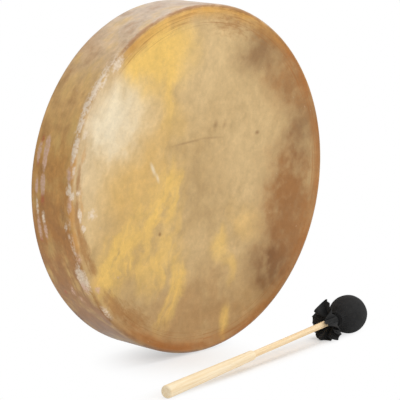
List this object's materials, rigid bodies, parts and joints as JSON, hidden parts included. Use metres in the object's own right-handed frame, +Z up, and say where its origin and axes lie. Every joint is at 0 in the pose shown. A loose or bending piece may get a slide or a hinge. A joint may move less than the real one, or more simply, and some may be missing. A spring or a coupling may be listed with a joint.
{
  "type": "shaman drum",
  "caption": "Round frame drum with a rawhide skin shrunk over a bent wooden hoop and a laced cross grip behind, with a wooden beater that has a padded ball under gathered black cloth.",
  "frame": {"origin": "middle of the flat facet on which the drum's rim stands", "axes": "+Z up, -Y out of the drum's skin, +X to the right as seen facing the skin"},
  "size_m": [0.4029, 0.1919, 0.4],
  "materials": {
    "rawhide_skin": "mottled translucent rawhide with a slight varnish gloss",
    "hoop_wood": "planed and oiled",
    "nail_brass": "hammered, dull",
    "ring_steel": "welded wire ring",
    "rawhide_lace": "dried rawhide cord",
    "grip_leather": "matt wound strip",
    "beater_wood": "sanded pale hardwood",
    "core_felt": "pressed felt",
    "black_cloth": "matt woven cotton",
    "tie_cord": "twisted cotton cord"
  },
  "bodies": {
    "drum": {"drum_head": "rawhide_skin", "hoop": "hoop_wood", "scarf_nail_1": "nail_brass", "scarf_nail_2": "nail_brass", "scarf_nail_3": "nail_brass", "scarf_nail_4": "nail_brass", "centre_ring": "ring_steel", "lace_right": "rawhide_lace", "lace_top": "rawhide_lace", "lace_left": "rawhide_lace", "lace_bottom": "rawhide_lace", "grip_wrap_right": "grip_leather", "grip_wrap_top": "grip_leather", "grip_wrap_left": "grip_leather", "grip_wrap_bottom": "grip_leather"},
    "beater": {"beater_handle": "beater_wood", "beater_shaft": "beater_wood", "beater_core": "core_felt", "beater_cloth": "black_cloth", "beater_tie": "tie_cord"}
  },
  "joints": [
    {"name": "beater_lift", "type": "slide", "parent": "drum", "child": "beater", "axis": [0, 0, 1], "range_m": [0, 0.25]}
  ]
}
